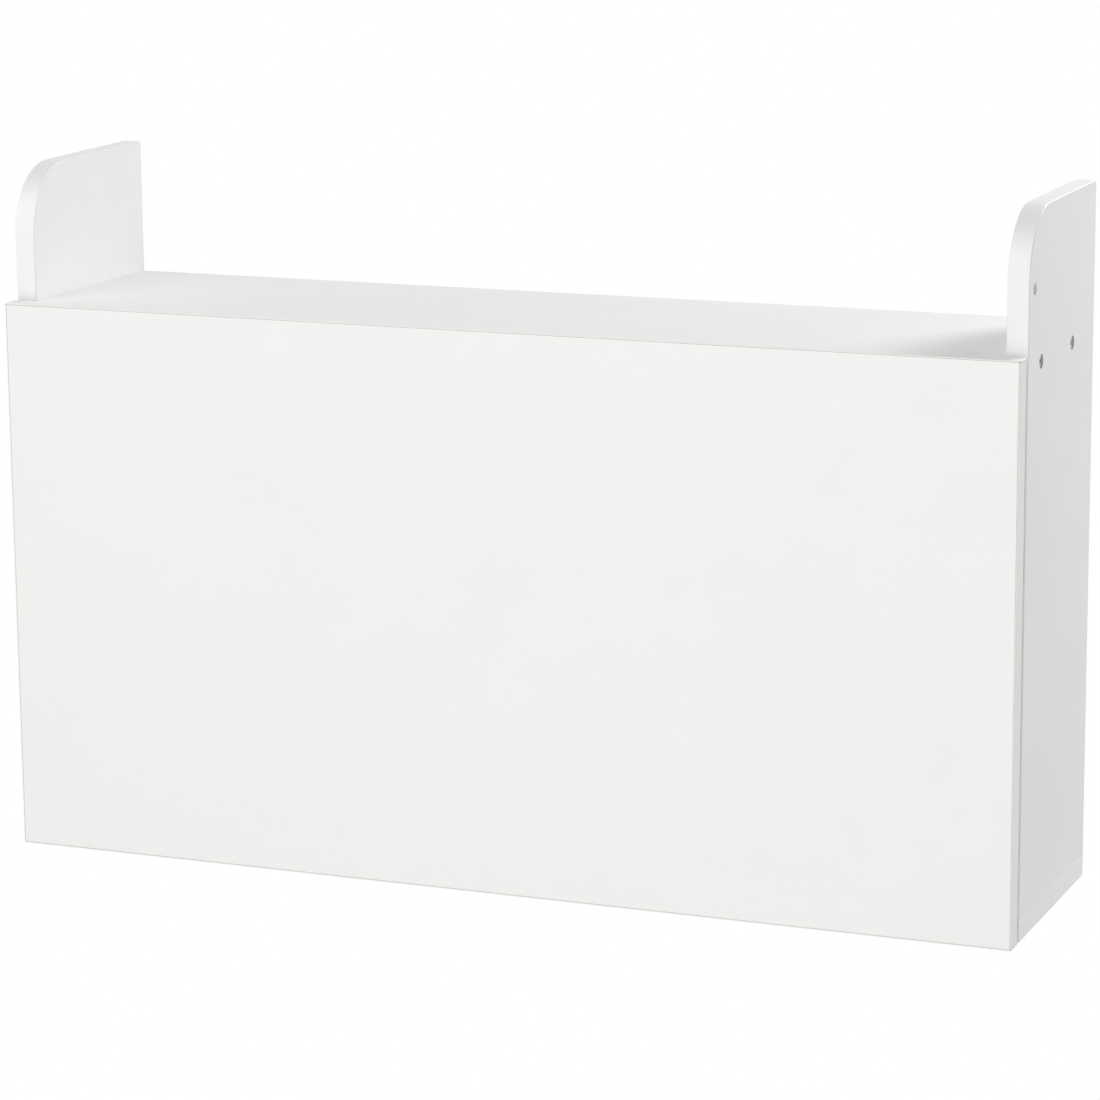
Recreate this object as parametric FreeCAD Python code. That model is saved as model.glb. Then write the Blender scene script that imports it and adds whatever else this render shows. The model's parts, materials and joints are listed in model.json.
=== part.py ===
import FreeCAD, Part
import math
import os
from FreeCAD import Vector

# Fold down wall desk, in millimetres. +X is to the right, +Y points at the wall and +Z is up.
# The wall is the plane Y = 0, so the cabinet and its flap lie at negative Y.
# Heights are measured from the underside of the bottom board. Each finished piece is then
# lowered, so that the origin is the middle of the four wall screw holes, on the wall.

# ---- Overall sizes ----
width = 800.0
side_depth = 180.0          # from the wall to the sides' front edges
shelf_top = 427.0           # height of the top shelf's upper face
flap_lip = 1.0              # of the closed flap above the top shelf
ear_height = 103.0          # of the sides above the top shelf
ear_radius = 52.0           # rounding of each side's front top corner
board = 16.0                # thickness of every board
flap_gap = 4.0              # between the cabinet's front and the closed flap
open_gap = 4.0              # between the cabinet's front and the open flap's rear edge

# ---- Boards and bands ----
band = 1.0                  # thickness of the edge bands
edge_round = 0.8            # rounding of the banded edges
shelf_setback = 8.0         # from the wall to the top shelf's rear edge
middle_shelf_low = 205.0    # height of the middle shelf's underside
inner_setback = 5.0         # of the middle shelf's and dividers' fronts
inner_slack = 0.5           # between the back panel and the boards in front of it
bay_count = 3               # cubbyholes above the middle shelf
back_panel = 3.0            # thickness of the back panel
groove_depth = 6.0
groove_slack = 0.2          # round the back panel in its grooves
rail_height = 60.0
wall_hole_spacing = 600.0   # across, centre to centre
wall_hole_radius = 3.0

# ---- Holes and marks in the ears ----
ear_hole_radius = 4.5
ear_hole_depth = 12.0
ear_hole_from_front = 15.0
ear_hole_above_shelf = 46.5
mark_radius = 2.0           # of the small dent pressed into each ear's inner face
mark_depth = 0.3
mark_from_wall = 18.0
mark_above_shelf = 51.0

# ---- Fasteners ----
fit = 0.05                  # radial clearance of anything in its own hole
tip_room = 1.0              # free length of a hole past the tip in it
overcut = 1.0               # of a through cut beyond each face that it opens
big_screw_length = 50.0
big_screw_radius = 3.5
big_head_radius = 5.2
big_head_sink = 1.0         # the head's face lies this far below the board's face
socket_across = 4.0         # hexagon socket, across its flats
screw_inset = 35.0          # from a board's front edge to the front screw
screw_from_wall = 60.0      # from the wall to the rear screw
dowel_radius = 4.0
dowel_in_side = 10.0
dowel_in_board = 20.0
cam_radius = 7.5
cam_reach = 34.0            # from the board's end to the cam's centre
cam_past = 4.3              # of the cam beyond the board's middle
cam_play = 0.3              # round the bolt's head in the cam
bolt_radius = 3.0
bolt_in_side = 11.0
bolt_neck_radius = 2.0
bolt_neck = 5.0
bolt_head = 4.0
fitting_spacing = 32.0      # between a cam bolt and the dowel beside it

# ---- Hinges ----
hinge_from_end = 110.0      # from the desk's end to the middle of the outer hinge
cup_radius = 17.5
cup_edge = 3.0              # wood between the cup's bore and the flap's lower edge
cup_floor = 1.0
flange_thickness = 1.0
flange_width = 56.0
flange_height = 16.0
flange_corner = 5.0
flange_lip = 1.5            # of the flange beyond the cup
cup_screw_offset = 23.0
arm_width = 12.0
arm_side_play = 0.4
arm_floor_play = 0.6        # between the arm's eye and the cup's floor
arm_top_play = 1.5          # between the closed arm and the top of its pocket
arm_thickness = 2.5
arm_eye_radius = 2.9
arm_length = 46.0           # behind the hinge axis
arm_corner = 4.0
hinge_pin_radius = 1.5
pin_end_wall = 0.5          # of the cup beyond each end of its pin
plate_thickness = 2.0
plate_width = 46.0
plate_depth = 24.0
plate_corner = 6.0
plate_screw_offset = 15.0

# ---- Stays ----
stay_standoff = 9.0         # of the bracket's rivet above the flap's inner face
stay_closed_span = 25.0     # from rivet to stud when the flap is closed
fold_angle = 90.0
bar_thickness = 2.5
bar_half_width = 7.0
bar_past_stud = 9.0
bar_tail_room = 1.0         # between the back panel and the bar, if it lay level
stud_shank_radius = 3.0
stud_flange_radius = 8.0
stud_flange = 2.0
stud_head_radius = 6.0
stud_head = 2.0
stud_in_side = 12.0
stud_screw_radius = 2.0
bar_side_play = 1.0         # between the stud's flange and the bar
bar_head_play = 0.7         # between the bar and the stud's head
bracket_sheet = 2.0
bracket_half_height = 11.0
bracket_ear_radius = 9.0
bracket_foot = 36.0
bracket_corner = 5.5
bracket_screw_offsets = (10.0, 26.0)
rivet_radius = 2.5
rivet_head_radius = 4.5
rivet_head = 1.5
washer_radius = 6.0
washer = 0.9
washer_play = 0.1

# ---- Catches and bumpers ----
catch_from_side = 54.0      # from a side's inner face to the middle of the catch
catch_width = 30.0
catch_depth = 14.0
catch_height = 13.0
catch_proud = 2.0           # of the catch in front of the cabinet
catch_lug = 9.0
catch_lug_thickness = 3.0
lug_corner = 3.0
magnet_width = 22.0
magnet_height = 7.0
magnet_depth = 9.8
magnet_proud = 0.2
catch_play = 0.3            # between the magnet and the strike plate
strike_height = 12.0
strike_corner = 3.0
strike_margin = 1.5         # round the heads of a strike plate's screws
bumper_radius = 5.0
bumper_play = 0.2
bumper_edge = 1.2           # rounding of the bumper's rim
low_bumper_height = 60.0
high_bumper_drop = 28.0     # below the flap's upper edge

# ---- Small wood screws ----
small_screw_radius = 1.75
small_head_radius = 3.4
small_head = 1.8
small_screw_length = 12.0
cross_width = 0.9
cross_span = 4.4
cross_depth = 1.1

# ---- Worked out from the sizes above ----
half = width / 2
inner = half - board                          # the sides' inner faces
front = -side_depth                           # the cabinet's front
flap_inner = front - flap_gap                 # the closed flap's inner face
flap_outer = flap_inner - board
shelf_low = shelf_top - board
ear_top = shelf_top + ear_height
flap_height = shelf_top + flap_lip
middle_shelf_top = middle_shelf_low + board
axis_z = (flap_gap + board - open_gap) / 2    # so that the open flap is flush with the bottom board
axis_y = flap_outer + axis_z
axis_depth = flap_inner - axis_y              # of the axis below the flap's inner face
panel_rear = -board                           # the rails are a board thick and stand on the wall
panel_front = panel_rear - back_panel
inner_rear = panel_front - inner_slack
inner_front = front + inner_setback
upper_rail_low = shelf_low - rail_height
upper_hole = upper_rail_low + rail_height / 2
lower_hole = board + rail_height / 2
origin_height = (upper_hole + lower_hole) / 2
front_screw = front + screw_inset
rear_screw = -screw_from_wall
cup_centre = cup_edge + cup_radius
cup_depth = axis_depth + arm_eye_radius + arm_floor_play + cup_floor
hinge_offsets = (hinge_from_end - half, 0, half - hinge_from_end)
catch_offset = inner - catch_from_side
bumper_heights = (low_bumper_height, flap_height - high_bumper_drop)
RIGHT = Vector(1, 0, 0)
LEFT = Vector(-1, 0, 0)
REAR = Vector(0, 1, 0)
FRONT = Vector(0, -1, 0)
UP = Vector(0, 0, 1)
DOWN = Vector(0, 0, -1)


# ---- Helpers ----
def box(low, high):
    """A box between two corners."""
    size = Vector(*high) - Vector(*low)
    return Part.makeBox(size.x, size.y, size.z, Vector(*low))


def rod(radius, length, start, direction):
    """A round rod from a start point along a direction."""
    return Part.makeCylinder(radius, length, Vector(*start), direction)


def join(shapes):
    """One solid from touching shapes."""
    return shapes[0].fuse(shapes[1:]).removeSplitter()


def cut_all(shape, cutters):
    """The shape with every cutter taken out of it."""
    return shape.cut(cutters) if cutters else shape


def mirrored(shapes):
    """The same shapes on the other side of the desk."""
    return [shape.mirror(Vector(0, 0, 0), RIGHT) for shape in shapes]


def both(shapes):
    """The shapes and their mirror images."""
    return shapes + mirrored(shapes)


def placed(shape, at, direction):
    """A shape made along +Z, turned so that +Z becomes the direction, and moved to a point."""
    turned_shape = shape.copy()
    turned_shape.Placement = FreeCAD.Placement(Vector(*at), FreeCAD.Rotation(UP, direction))
    return turned_shape


def turned(outline, grow=0.0, reach=0.0):
    """A solid of revolution about +Z through (height, radius) points, from the tip to the head.

    grow widens it all round and reach lengthens both ends, which makes the hole for it.
    """
    heights = [height for height, radius in outline]
    radii = [radius + grow for height, radius in outline]
    heights[0] -= reach
    heights[-1] += reach
    points = [Vector(0, 0, heights[0])]
    points += [Vector(radius, 0, height) for height, radius in zip(heights, radii)]
    points += [Vector(0, 0, heights[-1]), points[0]]
    face = Part.Face(Part.makePolygon(points))
    return face.revolve(Vector(0, 0, 0), UP, 360)


def softened(shape, chosen):
    """The shape with the chosen edges rounded; chosen tests the middle of each edge."""
    edges = [edge for edge in shape.Edges if chosen(edge.CenterOfMass)]
    return shape.makeFillet(edge_round, edges)


def near(value, target):
    """Whether two lengths are the same to a tenth of the edge rounding."""
    return abs(value - target) < edge_round / 10


# ---- Fasteners, each made along +Z with its head up, so that the head's face is at Z = 0 ----
def big_screw(grow=0.0, reach=0.0):
    """A connecting screw: a thick shank under a cone-shaped head."""
    tip = 3.0
    head_rim = 1.0
    cone = 3.0
    point = big_screw_radius / 2
    outline = [
        (-big_screw_length, point),
        (tip - big_screw_length, big_screw_radius),
        (-head_rim - cone, big_screw_radius),
        (-head_rim, big_head_radius),
        (0, big_head_radius),
    ]
    return turned(outline, grow, reach)


def socket_screw():
    """A connecting screw with its hexagon socket."""
    depth = 3.0
    across_corners = socket_across / math.cos(math.radians(30)) / 2
    turns = [math.radians(60 * step) for step in range(7)]
    corners = [Vector(across_corners * math.cos(turn), across_corners * math.sin(turn), 0) for turn in turns]
    socket = Part.Face(Part.makePolygon(corners)).extrude(DOWN * depth)
    return big_screw().cut(socket)


def small_screw(grow=0.0, reach=0.0):
    """A small wood screw with a low round head."""
    rim = 0.6
    end = -small_head - small_screw_length
    point = small_screw_radius / 3
    outline = [
        (end, point),
        (end + small_screw_radius, small_screw_radius),
        (-small_head, small_screw_radius),
        (-small_head, small_head_radius),
        (-rim, small_head_radius),
        (0, small_head_radius - rim),
    ]
    return turned(outline, grow, reach)


def cross_screw():
    """A small wood screw with its cross recess."""
    half_span = cross_span / 2
    half_slot = cross_width / 2
    along_x = box((-half_span, -half_slot, -cross_depth), (half_span, half_slot, 0))
    along_y = box((-half_slot, -half_span, -cross_depth), (half_slot, half_span, 0))
    return small_screw().cut([along_x, along_y])


def small_hole(at, direction):
    """The pilot hole in wood of a small screw that enters the face at a point; its head faces direction."""
    length = small_screw_length + tip_room
    return rod(small_screw_radius + fit, length, at, direction * -1)


def metal_hole(at, direction):
    """The hole of the same small screw through the metal that it holds on that face."""
    start = Vector(*at) - direction * overcut
    return rod(small_screw_radius + fit, small_screw_length, tuple(start), direction)


def dowel(grow=0.0, reach=0.0):
    """A dowel along +Z, from its end in the side to its end in the board."""
    bevel = 1.0
    length = dowel_in_side + dowel_in_board
    outline = [
        (-dowel_in_side, dowel_radius - bevel),
        (bevel - dowel_in_side, dowel_radius),
        (length - dowel_in_side - bevel, dowel_radius),
        (length - dowel_in_side, dowel_radius - bevel),
    ]
    if grow:
        outline = [(-dowel_in_side, dowel_radius), (length - dowel_in_side, dowel_radius)]
    return turned(outline, grow, reach)


def cam_bolt():
    """A cam bolt along +Z, from its thread in the side to its head in the cam."""
    neck_start = cam_reach - cam_radius
    head_start = neck_start + bolt_neck
    outline = [
        (-bolt_in_side, bolt_radius),
        (neck_start, bolt_radius),
        (neck_start, bolt_neck_radius),
        (head_start, bolt_neck_radius),
        (head_start, bolt_radius),
        (head_start + bolt_head, bolt_radius),
    ]
    return turned(outline)


def cam_lock(at, into):
    """A cam sunk into a board's face at a point, with its channel open towards the right side."""
    body = rod(cam_radius - fit, board / 2 + cam_past, at, into)
    middle = Vector(*at) + into * (board / 2)
    head_past_centre = bolt_neck + bolt_head - cam_radius
    start = middle + LEFT * (head_past_centre + cam_play)
    channel = rod(bolt_radius + cam_play, 2 * cam_radius, start, RIGHT)
    return body.cut([channel, driver_slot(at, into)])


def driver_slot(at, into):
    """The straight driver slot in a cam's face."""
    slot_half = 0.7
    slot_depth = 2.0
    slot_edge = 2.25
    slot_reach = cam_radius - slot_edge
    bar = box((-slot_reach, -slot_half, -slot_depth), (slot_reach, slot_half, slot_depth))
    return placed(bar, at, into)


def cam_joint(face_y, face_z, cam_at, into):
    """The pieces and holes of one cam fitting in the right side: a dict of shapes."""
    start = (inner, face_y, face_z)
    neck_start = cam_reach - cam_radius
    return {
        "bolt": placed(cam_bolt(), start, LEFT),
        "cam": cam_lock(cam_at, into),
        "side_hole": rod(bolt_radius + fit, bolt_in_side + tip_room, start, RIGHT),
        "board_holes": [
            rod(bolt_radius + fit, neck_start + cam_radius, start, LEFT),
            rod(cam_radius, board / 2 + cam_past + fit, cam_at, into),
        ],
    }


# ---- Where the fasteners go, on the right-hand side ----
def top_shelf_screw_places():
    """Heads of the screws through the right side into the top shelf."""
    x = half - big_head_sink
    z = shelf_top - board / 2
    return [((x, y, z), RIGHT) for y in (front_screw, rear_screw)]


def bottom_screw_places():
    """Heads of the screws up through the bottom board into the right side."""
    x = half - board / 2
    return [((x, y, big_head_sink), DOWN) for y in (front_screw, rear_screw)]


def divider_centre():
    """X of the right divider's middle."""
    clear = (2 * inner - (bay_count - 1) * board) / bay_count
    return clear / 2 + board / 2


def divider_screw_places():
    """Heads of the screws up through the middle shelf into the right divider."""
    z = middle_shelf_low + big_head_sink
    return [((divider_centre(), y, z), DOWN) for y in (front_screw, rear_screw)]


def divider_dowel_places():
    """Dowels between the top shelf and the right divider."""
    return [((divider_centre(), y, shelf_low), DOWN) for y in (front_screw, rear_screw)]


def shelf_fittings():
    """Cam fittings of the middle shelf in the right side."""
    z = middle_shelf_low + board / 2
    cam_x = inner - cam_reach
    return [cam_joint(y, z, (cam_x, y, middle_shelf_low), UP) for y in (front_screw, rear_screw)]


def shelf_dowel_places():
    """Dowels between the middle shelf and the right side."""
    z = middle_shelf_low + board / 2
    return [((inner, front_screw + fitting_spacing, z), LEFT)]


def rail_fitting(middle_z):
    """Cam fitting of a rail in the right side; the cam is in the rail's rear face."""
    z = middle_z + fitting_spacing / 2
    cam_x = inner - cam_reach
    return cam_joint(-board / 2, z, (cam_x, 0, z), FRONT)


def rail_dowel_place(middle_z):
    """Dowel between a rail and the right side."""
    return ((inner, -board / 2, middle_z - fitting_spacing / 2), LEFT)


def dowel_places():
    """Every dowel on the right-hand side."""
    rails = [rail_dowel_place(upper_hole), rail_dowel_place(lower_hole)]
    return divider_dowel_places() + shelf_dowel_places() + rails


def dowel_holes(places):
    """The holes of the dowels at these places."""
    return [placed(dowel(fit, tip_room), *place) for place in places]


def big_screw_holes(places):
    """The holes of the connecting screws at these places."""
    return [placed(big_screw(fit, tip_room), *place) for place in places]


# ---- Sides ----
def side_outline(inset):
    """A side's face in the plane X = inner, with its front and top edges drawn in by inset."""
    y_front = front + inset
    z_top = ear_top - inset
    centre = Vector(inner, front + ear_radius, ear_top - ear_radius)
    radius = ear_radius - inset
    lean = radius * math.sqrt(0.5)
    low_front = Vector(inner, y_front, board)
    arc_start = Vector(inner, y_front, centre.z)
    arc_middle = centre + Vector(0, -lean, lean)
    arc_end = Vector(inner, centre.y, z_top)
    top_rear = Vector(inner, 0, z_top)
    low_rear = Vector(inner, 0, board)
    edges = [
        Part.LineSegment(low_front, arc_start),
        Part.Arc(arc_start, arc_middle, arc_end),
        Part.LineSegment(arc_end, top_rear),
        Part.LineSegment(top_rear, low_rear),
        Part.LineSegment(low_rear, low_front),
    ]
    wire = Part.Wire([edge.toShape() for edge in edges])
    return Part.Face(wire)


def ear_mark():
    """The ball whose tip leaves the dent in the ear's inner face. Its seam points away from it."""
    ball_radius = (mark_radius ** 2 + mark_depth ** 2) / (2 * mark_depth)
    middle = Vector(inner + mark_depth - ball_radius, -mark_from_wall, shelf_top + mark_above_shelf)
    ball = Part.makeSphere(ball_radius, middle)
    ball.rotate(middle, UP, 180)
    return ball


def side_core():
    """The right side's chipboard with all of its holes."""
    core = side_outline(band).extrude(RIGHT * board)
    fittings = shelf_fittings() + [rail_fitting(upper_hole), rail_fitting(lower_hole)]
    side_dowels = shelf_dowel_places() + [rail_dowel_place(upper_hole), rail_dowel_place(lower_hole)]
    ear_hole_start = (half, front + ear_hole_from_front, shelf_top + ear_hole_above_shelf)
    cutters = big_screw_holes(top_shelf_screw_places() + bottom_screw_places())
    cutters += [fitting["side_hole"] for fitting in fittings]
    cutters += dowel_holes(side_dowels)
    cutters += [
        panel_groove_in_side(),
        stud_hole(),
        rod(ear_hole_radius, ear_hole_depth, ear_hole_start, LEFT),
        ear_mark(),
    ]
    return cut_all(core, cutters)


def side_band():
    """The right side's edge band, in one strip up the front, round the corner and along the top."""
    blank = side_outline(0).extrude(RIGHT * board)

    def on_band(point):
        on_face = near(point.x, inner) or near(point.x, half)
        off_rear = point.y < -edge_round
        off_bottom = point.z > board + edge_round
        return on_face and off_rear and off_bottom

    soft = softened(blank, on_band)
    return soft.cut(side_outline(band).extrude(RIGHT * board))


def panel_groove_in_side():
    """The groove for the back panel in the right side."""
    low = (inner, panel_front - groove_slack, 0)
    high = (inner + groove_depth, panel_rear + groove_slack, shelf_low + groove_depth)
    return box(low, high)


# ---- Shelves, bottom, dividers, rails and back ----
def front_softened(low, high):
    """A board's block with the two long edges of its front rounded."""
    block = box(low, high)
    middle_x = (low[0] + high[0]) / 2
    return softened(block, lambda point: near(point.y, low[1]) and near(point.x, middle_x))


def shelf_pair(low, high):
    """A shelf's chipboard and its front band."""
    block = front_softened(low, high)
    strip = box(low, (high[0], low[1] + band, high[2]))
    return block.cut(strip), block.common(strip)


def panel_groove(low_z, high_z):
    """The groove for the back panel across a shelf or the bottom board."""
    reach = inner + groove_depth
    return box((-reach, panel_front - groove_slack, low_z), (reach, panel_rear + groove_slack, high_z))


def top_shelf():
    """The top shelf's chipboard and its band."""
    core, strip = shelf_pair((-inner, front, shelf_low), (inner, -shelf_setback, shelf_top))
    cutters = big_screw_holes(top_shelf_screw_places()) + dowel_holes(divider_dowel_places())
    cutters += [small_hole(*place) for place in catch_screw_seats()]
    cutters = both(cutters) + [panel_groove(shelf_low, shelf_low + groove_depth)]
    return cut_all(core, cutters), strip


def middle_shelf():
    """The middle shelf's chipboard and its band."""
    low = (-inner, inner_front, middle_shelf_low)
    core, strip = shelf_pair(low, (inner, inner_rear, middle_shelf_top))
    cutters = big_screw_holes(divider_screw_places()) + dowel_holes(shelf_dowel_places())
    for fitting in shelf_fittings():
        cutters += fitting["board_holes"]
    return cut_all(core, both(cutters)), strip


def bottom_board():
    """The bottom board's chipboard, its front band and its two end bands."""
    block = box((-half, front, 0), (half, 0, board))
    block = softened(block, lambda point: point.y < -edge_round)
    front_slab = box((-half + band, front, 0), (half - band, front + band, board))
    end_slab = box((half - band, front, 0), (half, 0, board))
    slabs = [front_slab] + both([end_slab])
    cutters = both(big_screw_holes(bottom_screw_places()))
    cutters += [panel_groove(board - groove_depth, board)]
    cutters += [small_hole(*place) for place in plate_screw_seats()]
    core = cut_all(block.cut(slabs), cutters)
    return core, block.common(front_slab), both([block.common(end_slab)])


def right_divider():
    """The right divider's chipboard and its front band."""
    x_low = divider_centre() - board / 2
    low = (x_low, inner_front, middle_shelf_top)
    high = (x_low + board, inner_rear, shelf_low)
    block = box(low, high)
    block = softened(block, lambda point: near(point.y, low[1]) and not near(point.x, divider_centre()))
    strip = box(low, (high[0], low[1] + band, high[2]))
    cutters = big_screw_holes(divider_screw_places()) + dowel_holes(divider_dowel_places())
    return cut_all(block.cut(strip), cutters), block.common(strip)


def rail(low_z):
    """A hanging rail with its wall screw holes."""
    middle_z = low_z + rail_height / 2
    fitting = rail_fitting(middle_z)
    cutters = both(fitting["board_holes"] + dowel_holes([rail_dowel_place(middle_z)]))
    cutters += wall_holes(middle_z)
    return cut_all(box((-inner, -board, low_z), (inner, 0, low_z + rail_height)), cutters)


def wall_holes(height):
    """The two wall screw holes at one height, through the rail and the back panel."""
    length = board + back_panel + 2 * tip_room
    x = wall_hole_spacing / 2
    return both([rod(wall_hole_radius, length, (x, tip_room, height), FRONT)])


def rear_panel():
    """The back panel, in its grooves in the sides, the top shelf and the bottom board."""
    reach = inner + groove_depth - groove_slack
    low = (-reach, panel_front, board - groove_depth + groove_slack)
    high = (reach, panel_rear, shelf_low + groove_depth - groove_slack)
    return cut_all(box(low, high), wall_holes(upper_hole) + wall_holes(lower_hole))


# ---- Flap ----
def flap():
    """The flap's chipboard and its top, bottom, left and right bands."""
    block = box((-half, flap_outer, 0), (half, flap_inner, flap_height))
    block = softened(block, lambda point: True)
    side_slab = box((half - band, flap_outer, 0), (half, flap_inner, flap_height))
    low_slab = box((band - half, flap_outer, 0), (half - band, flap_inner, band))
    high_slab = low_slab.translated(UP * (flap_height - band))
    left_slab = mirrored([side_slab])[0]
    slabs = [high_slab, low_slab, left_slab, side_slab]
    cutters = [rod(cup_radius, cup_depth, (x, flap_inner, cup_centre), FRONT) for x in hinge_offsets]
    cutters += [small_hole(*place) for place in cup_screw_seats()]
    cutters += both([small_hole(*place) for place in bracket_screw_seats() + strike_screw_seats()])
    core = cut_all(block.cut(slabs), cutters)
    return [core] + [block.common(slab) for slab in slabs]


# ---- Hinges ----
def hinge_cup(x):
    """A hinge cup with its flange, and the pocket in which the arm turns."""
    centre = (x, flap_inner, cup_centre)
    cup = rod(cup_radius - fit, cup_depth - fit, centre, FRONT)
    disc = rod(cup_radius + flange_lip, flange_thickness, centre, REAR)
    low = (x - flange_width / 2, flap_inner, cup_centre - flange_height / 2)
    high = (x + flange_width / 2, flap_inner + flange_thickness, cup_centre + flange_height / 2)
    wing = box(low, high)
    corners = [edge for edge in wing.Edges if edge.BoundBox.YLength > flange_thickness / 2]
    wing = wing.makeFillet(flange_corner, corners)
    return join([cup, disc, wing]).cut(arm_pocket(x) + [pin_hole(x)] + cup_screw_holes(x))


def arm_pocket(x):
    """The space for an arm in its cup, and the slot for it in the cup's flange."""
    left = x - arm_width / 2 - arm_side_play
    right = x + arm_width / 2 + arm_side_play
    floor = flap_inner - cup_depth + cup_floor + fit
    low = axis_z - arm_eye_radius - 2 * arm_side_play
    high = arm_low() + arm_thickness + arm_top_play
    return [box((left, floor, low), (right, front, high)), box((left, flap_inner, 0), (right, front, high))]


def pin_length():
    """Length of a hinge pin: across its cup at that height, less a wall at each end."""
    below_middle = cup_centre - (axis_z - hinge_pin_radius)
    chord = math.sqrt(cup_radius ** 2 - below_middle ** 2)
    return 2 * (chord - pin_end_wall)


def pin_hole(x):
    """The blind hole for a hinge pin across its cup."""
    length = pin_length() + 2 * fit
    return rod(hinge_pin_radius + fit, length, (x - length / 2, axis_y, axis_z), RIGHT)


def cup_screw_holes(x):
    """The screw holes in a cup's flange."""
    through = flange_thickness + 2 * overcut
    starts = [(x + side * cup_screw_offset, flap_inner - overcut, cup_centre) for side in (-1, 1)]
    return [rod(small_screw_radius + fit, through, start, REAR) for start in starts]


def cup_screw_seats():
    """Where the cups' screws enter the flap: a point on its inner face, and the heads' direction."""
    seats = []
    for x in hinge_offsets:
        for side in (-1, 1):
            seats.append(((x + side * cup_screw_offset, flap_inner, cup_centre), REAR))
    return seats


def hinge_pin(x):
    """The pin on which an arm turns."""
    return rod(hinge_pin_radius, pin_length(), (x - pin_length() / 2, axis_y, axis_z), RIGHT)


def arm_low():
    """Height of the underside of the hinge arms."""
    return board + plate_thickness


def hinge_arm(x):
    """A gooseneck arm: a strap over the bottom board, and a leg down to the pin's eye."""
    x_low = x - arm_width / 2
    x_high = x + arm_width / 2
    y_front = axis_y - arm_eye_radius
    y_tail = axis_y + arm_length
    strap = box((x_low, y_front, arm_low()), (x_high, y_tail, arm_low() + arm_thickness))
    leg = box((x_low, y_front, axis_z), (x_high, axis_y + arm_eye_radius, arm_low()))
    eye = rod(arm_eye_radius, arm_width, (x_low, axis_y, axis_z), RIGHT)
    arm = join([strap, leg, eye])
    tail = [edge for edge in arm.Edges if near(edge.CenterOfMass.y, y_tail)]
    upright = [edge for edge in tail if edge.BoundBox.ZLength > arm_thickness / 2]
    arm = arm.makeFillet(arm_corner, upright)
    screw_hole = metal_hole((x, plate_centre(), arm_low()), UP)
    return arm.cut([pin_hole(x), screw_hole])


def plate_centre():
    """Y of the middle of the hinge plates."""
    return axis_y + arm_length - plate_depth / 2


def hinge_plate(x):
    """The plate that carries an arm on the bottom board."""
    low = (x - plate_width / 2, plate_centre() - plate_depth / 2, board)
    high = (x + plate_width / 2, plate_centre() + plate_depth / 2, arm_low())
    plate = box(low, high)
    corners = [edge for edge in plate.Edges if edge.BoundBox.ZLength > plate_thickness / 2]
    plate = plate.makeFillet(plate_corner, corners)
    holes = [metal_hole((x + shift, plate_centre(), board), UP) for shift in plate_screw_shifts()]
    return plate.cut(holes)


def plate_screw_shifts():
    """X of a plate's screws from its middle; the middle one also holds the arm."""
    return (-plate_screw_offset, 0, plate_screw_offset)


def plate_screw_seats():
    """Where the plates' and arms' screws enter the bottom board."""
    seats = []
    for x in hinge_offsets:
        for shift in plate_screw_shifts():
            seats.append(((x + shift, plate_centre(), board), UP))
    return seats


# ---- Stays ----
def open_span():
    """Distance from rivet to stud when the flap is open: all that the closed bar has room for."""
    rivet_y = flap_inner + stay_standoff
    bar_length = panel_front - bar_tail_room - rivet_y
    return bar_length - bar_past_stud - fit


def stay_radius():
    """Distance from the hinge axis to the rivet and to the stud, which gives both of the stay's spans."""
    half_fold = math.radians(fold_angle) / 2
    along = (open_span() - stay_closed_span * math.cos(half_fold)) / math.sin(half_fold)
    return math.hypot(stay_closed_span, along) / 2


def rivet_point():
    """(y, z) of the right bracket's rivet when the flap is closed."""
    reach_y = axis_depth + stay_standoff
    reach_z = math.sqrt(stay_radius() ** 2 - reach_y ** 2)
    return axis_y + reach_y, axis_z + reach_z


def closed_turn():
    """Angle at the hinge axis between the rivet and the stud when the flap is closed, in radians."""
    return 2 * math.asin(stay_closed_span / 2 / stay_radius())


def stud_point():
    """(y, z) of the right stud: as far from the hinge axis as the rivet is."""
    y, z = rivet_point()
    lean = math.atan2(z - axis_z, y - axis_y) - closed_turn()
    return axis_y + stay_radius() * math.cos(lean), axis_z + stay_radius() * math.sin(lean)


def bar_outer():
    """X of the right bar's outer face."""
    return inner - stud_flange - bar_side_play


def bar_inner():
    """X of the right bar's inner face."""
    return bar_outer() - bar_thickness


def stud_hole():
    """The stud's hole in the right side."""
    y, z = stud_point()
    return rod(stud_screw_radius + fit, stud_in_side + tip_room, (inner, y, z), RIGHT)


def stay_stud():
    """A shouldered stud in the right side, on which the bar slides."""
    y, z = stud_point()
    shank = stud_flange + bar_side_play + bar_thickness + bar_head_play
    outline = [
        (-stud_in_side, stud_screw_radius),
        (0, stud_screw_radius),
        (0, stud_flange_radius),
        (stud_flange, stud_flange_radius),
        (stud_flange, stud_shank_radius),
        (shank, stud_shank_radius),
        (shank, stud_head_radius),
        (shank + stud_head, stud_head_radius),
    ]
    return placed(turned(outline), (inner, y, z), LEFT)


def capsule(start, length, radius, thickness):
    """A flat bar with round ends, from a start point along +Y, whose thickness runs along +X."""
    y_high = start[1] + length
    body = box((start[0], start[1], start[2] - radius), (start[0] + thickness, y_high, start[2] + radius))
    ends = [rod(radius, thickness, (start[0], y, start[2]), RIGHT) for y in (start[1], y_high)]
    return join([body] + ends)


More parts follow.
